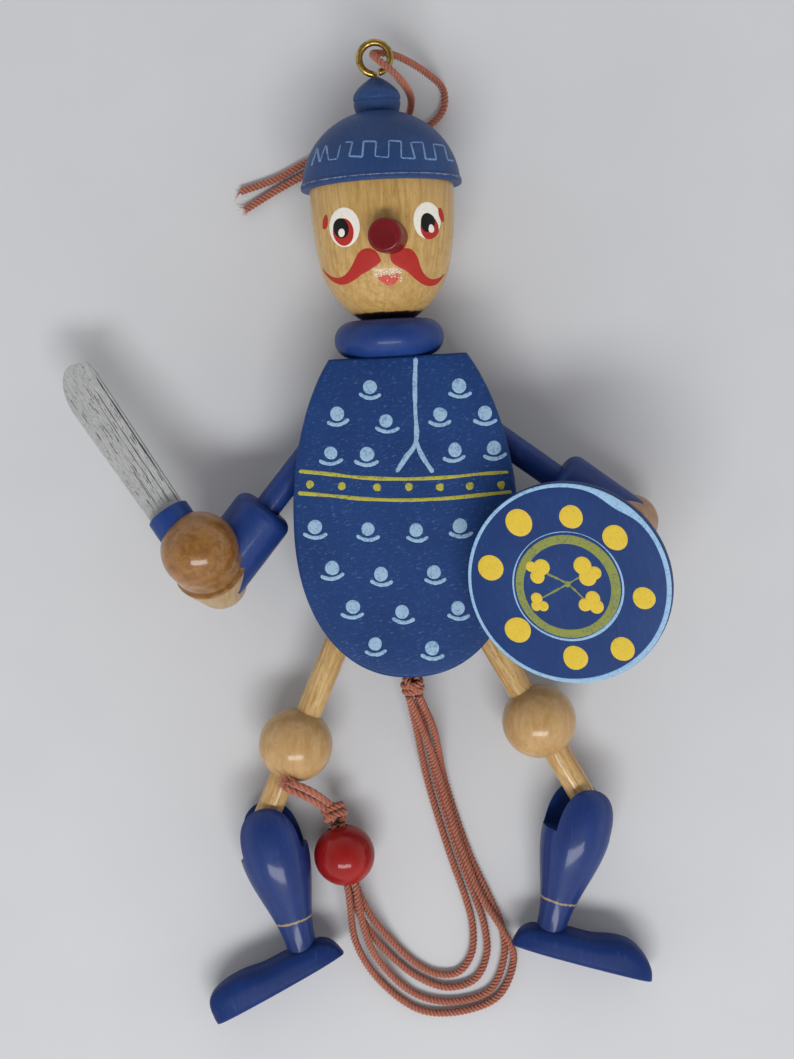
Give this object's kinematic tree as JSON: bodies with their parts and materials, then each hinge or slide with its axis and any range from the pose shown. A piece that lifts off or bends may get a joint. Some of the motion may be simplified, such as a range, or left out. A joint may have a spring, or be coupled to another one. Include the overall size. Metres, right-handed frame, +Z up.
{
  "type": "pull string jumping jack",
  "caption": "Flat wooden toy soldier with a sword and a round shield; a beaded cord under its body raises the pinned arms and legs together.",
  "frame": {"origin": "on the table under the middle of the toy as it lies on its back, cords left out", "axes": "+X to the toy's shield side, +Y towards its head, +Z up off the table towards its face"},
  "size_m": [0.1566, 0.2621, 0.0523],
  "materials": {
    "blue_painted_wood": "satin paint",
    "bare_wood": "varnished",
    "red_painted_wood": "gloss paint",
    "grey_painted_wood": "satin paint",
    "brass": "polished, a little worn",
    "steel": "plain wire",
    "cord": "twisted cotton"
  },
  "bodies": {
    "torso": {"body_front": "blue_painted_wood", "body_back": "blue_painted_wood", "neck_block": "bare_wood", "neck_dowel": "bare_wood", "neck_ring": "blue_painted_wood", "head": "bare_wood", "nose": "red_painted_wood", "hat": "blue_painted_wood", "screw_eye": "brass", "shoulder_pins": "steel", "hip_pins": "steel", "hanging_loop": "cord", "hanging_knot": "cord", "hanging_tails": "cord"},
    "left_arm": {"left_upper_arm": "blue_painted_wood", "left_sleeve": "blue_painted_wood", "left_fist": "bare_wood", "sword_hilt": "blue_painted_wood", "sword_blade": "grey_painted_wood"},
    "right_arm": {"right_upper_arm": "blue_painted_wood", "right_sleeve": "blue_painted_wood", "right_fist": "bare_wood", "shield_peg": "bare_wood", "shield": "blue_painted_wood"},
    "left_thigh_body": {"left_thigh": "bare_wood", "left_knee_ball": "bare_wood"},
    "right_thigh_body": {"right_thigh": "bare_wood", "right_knee_ball": "bare_wood"},
    "left_shin": {"left_calf": "blue_painted_wood", "left_knee_pin": "steel", "left_shoe": "blue_painted_wood"},
    "right_shin": {"right_calf": "blue_painted_wood", "right_knee_pin": "steel", "right_shoe": "blue_painted_wood"},
    "pull": {"left_arm_string": "cord", "right_arm_string": "cord", "left_leg_string": "cord", "right_leg_string": "cord", "pull_knot": "cord", "pull_strand_1": "cord", "pull_strand_2": "cord", "pull_strand_3": "cord", "pull_strand_4": "cord", "bead": "red_painted_wood", "bead_knot": "cord", "bead_tails": "cord"}
  },
  "joints": [
    {"name": "pull", "type": "slide", "parent": "torso", "child": "pull", "axis": [0, -1, 0], "range_m": [0, 0.007], "deforming": ["left_arm_string", "right_arm_string", "left_leg_string", "right_leg_string"]},
    {"name": "left_shoulder", "type": "hinge", "parent": "torso", "child": "left_arm", "pos_m": [-0.0083, 0.02974, 0.01696], "axis": [0, -0.0677, 0.9977], "range_deg": [-60, 0]},
    {"name": "right_shoulder", "type": "hinge", "parent": "torso", "child": "right_arm", "pos_m": [0.0297, 0.02974, 0.01696], "axis": [0, -0.0677, 0.9977], "range_deg": [0, 60]},
    {"name": "left_hip", "type": "hinge", "parent": "torso", "child": "left_thigh_body", "pos_m": [-0.0048, -0.01835, 0.0137], "axis": [0, -0.0677, 0.9977], "range_deg": [-45, 0]},
    {"name": "right_hip", "type": "hinge", "parent": "torso", "child": "right_thigh_body", "pos_m": [0.0262, -0.01835, 0.0137], "axis": [0, -0.0677, 0.9977], "range_deg": [0, 45]},
    {"name": "left_knee", "type": "hinge", "parent": "left_thigh_body", "child": "left_shin", "pos_m": [-0.03137, -0.07468, 0.00988], "axis": [0, -0.0677, 0.9977], "range_deg": [-75, 0]},
    {"name": "right_knee", "type": "hinge", "parent": "right_thigh_body", "child": "right_shin", "pos_m": [0.05492, -0.07362, 0.00996], "axis": [0, -0.0677, 0.9977], "range_deg": [0, 75]}
  ],
  "couplings": [
    {"joint": "left_shoulder", "follows": "pull", "rad_per_m": -149.59},
    {"joint": "right_shoulder", "follows": "pull", "rad_per_m": 149.59},
    {"joint": "left_hip", "follows": "pull", "rad_per_m": -112.19},
    {"joint": "right_hip", "follows": "pull", "rad_per_m": 112.19}
  ]
}
